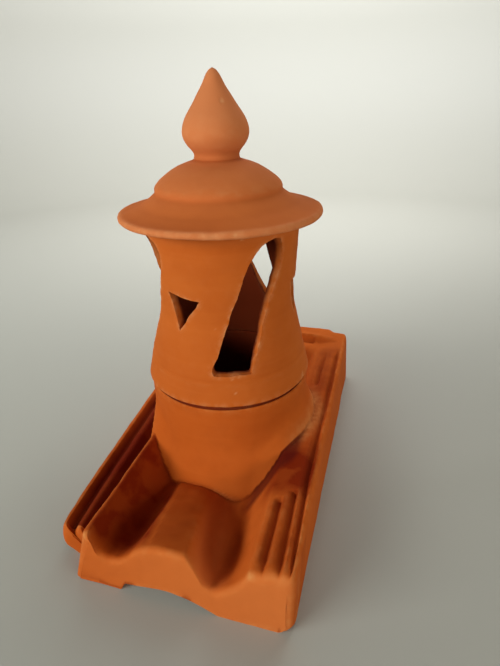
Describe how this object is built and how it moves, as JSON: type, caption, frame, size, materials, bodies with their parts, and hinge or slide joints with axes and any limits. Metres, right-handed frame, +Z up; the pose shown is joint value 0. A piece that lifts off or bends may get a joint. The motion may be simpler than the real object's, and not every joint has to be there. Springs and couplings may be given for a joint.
{
  "type": "tile roof vent",
  "caption": "Terracotta interlocking roof tile with a round collar, carrying a loose pierced lantern cap with a brimmed hat and a drop finial, to ventilate a roof.",
  "frame": {"origin": "centre of the part's box at the height of the feet of the tile", "axes": "+Z up along the flue, +Y from the nose of the tile to its head, +X towards its grooved roll"},
  "size_m": [0.238, 0.415, 0.4073],
  "materials": {
    "tile_clay": "matte fired terracotta, unglazed",
    "lantern_clay": "matte fired terracotta, unglazed and hand turned"
  },
  "bodies": {
    "root": {"vent_tile": "tile_clay", "lantern_cap": "lantern_clay"}
  },
  "joints": []
}
